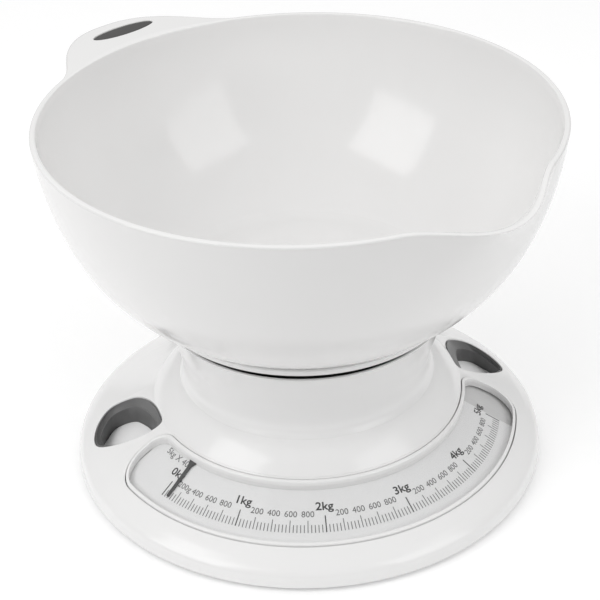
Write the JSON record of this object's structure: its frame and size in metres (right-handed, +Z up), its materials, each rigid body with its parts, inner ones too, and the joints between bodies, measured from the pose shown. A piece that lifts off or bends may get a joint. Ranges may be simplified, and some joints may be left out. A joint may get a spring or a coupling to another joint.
{
  "type": "mechanical kitchen scale",
  "caption": "Mechanical kitchen scale: a lift-off pouring bowl on a sprung platter, a waisted neck, and a round base with a curved dial window and side grip holes.",
  "frame": {"origin": "on the vertical axis of the base, platter and neck, at table height under the feet", "axes": "+Z up; -Y is the front, where the middle of the dial window is; +X to the right of someone reading the dial"},
  "size_m": [0.2276, 0.2469, 0.1713],
  "materials": {
    "casing_white": "polished moulded white",
    "cover_white": "moulded white, lightly spark-textured",
    "bezel_white": "polished moulded white",
    "grip_grey": "satin dark grey",
    "lens_clear": "clear polished window, a clear plastic pane on the real scale",
    "dial_card": "printed card",
    "inner_plastic": "natural moulded plastic",
    "foot_rubber": "soft rubber",
    "zinc_steel": "zinc plated",
    "spring_steel": "drawn wire",
    "brass": "machined",
    "pointer_black": "satin black",
    "platter_white": "polished moulded white",
    "wheel_grey": "satin dark grey",
    "bowl_white": "polished moulded white",
    "inlay_grey": "satin soft-touch dark grey"
  },
  "bodies": {
    "base": {"top_casing": "casing_white", "bottom_cover": "cover_white", "grip_insert_left": "grip_grey", "grip_insert_right": "grip_grey", "window_bezel": "bezel_white", "window_lens": "lens_clear", "dial_card": "dial_card", "dial_carrier": "inner_plastic", "foot_1": "foot_rubber", "foot_2": "foot_rubber", "foot_3": "foot_rubber", "foot_4": "foot_rubber", "cover_screw_1": "zinc_steel", "cover_screw_2": "zinc_steel", "cover_screw_3": "zinc_steel", "cover_screw_4": "zinc_steel", "chassis_plate": "zinc_steel", "chassis_screw_1": "zinc_steel", "chassis_screw_2": "zinc_steel", "chassis_screw_3": "zinc_steel", "guide_column": "inner_plastic", "column_screw_1": "zinc_steel", "column_screw_2": "zinc_steel", "column_screw_3": "zinc_steel", "zero_stud": "zinc_steel", "crank_bracket": "zinc_steel", "crank_pin": "zinc_steel", "arbor_bridge": "zinc_steel", "arbor_bush": "brass", "rack_guide": "inner_plastic"},
    "platter": {"platter": "platter_white", "load_post": "inner_plastic", "push_arm": "zinc_steel", "arm_screw": "zinc_steel", "main_spring": "spring_steel"},
    "crank": {"bell_crank": "zinc_steel"},
    "rack": {"rack": "inner_plastic"},
    "pointer": {"pointer_arbor": "zinc_steel", "pinion": "brass", "pointer_hub": "brass", "pointer": "pointer_black"},
    "zero_wheel": {"zero_wheel": "wheel_grey"},
    "bowl": {"bowl": "bowl_white", "bowl_inlay": "inlay_grey"}
  },
  "joints": [
    {"name": "platter_press", "type": "slide", "parent": "base", "child": "platter", "axis": [0, 0, -1], "range_m": [0, 0.003], "stiffness_N_per_m": 16350, "deforming": ["main_spring"]},
    {"name": "crank_turn", "type": "hinge", "parent": "base", "child": "crank", "pos_m": [0.0064, 0.038, 0.0305], "axis": [1, 0, 0], "range_deg": [0, 24.61]},
    {"name": "rack_slide", "type": "slide", "parent": "base", "child": "rack", "axis": [0, 1, 0], "range_m": [0, 0.00863]},
    {"name": "pointer_turn", "type": "hinge", "parent": "base", "child": "pointer", "pos_m": [0, 0, 0.0262], "axis": [0, 0, 1], "range_deg": [0, 126.65]},
    {"name": "zero_turn", "type": "hinge", "parent": "base", "child": "zero_wheel", "pos_m": [0, 0.046, 0.0585], "axis": [0, 0, 1], "range_deg": [-180, 180]},
    {"name": "bowl_lift", "type": "slide", "parent": "platter", "child": "bowl", "axis": [0, 0, 1], "range_m": [0, 0.1]}
  ],
  "couplings": [
    {"joint": "crank_turn", "follows": "platter_press", "rad_per_m": 142.86},
    {"joint": "rack_slide", "follows": "platter_press", "ratio": 2.8714},
    {"joint": "pointer_turn", "follows": "platter_press", "rad_per_m": 736.26}
  ]
}
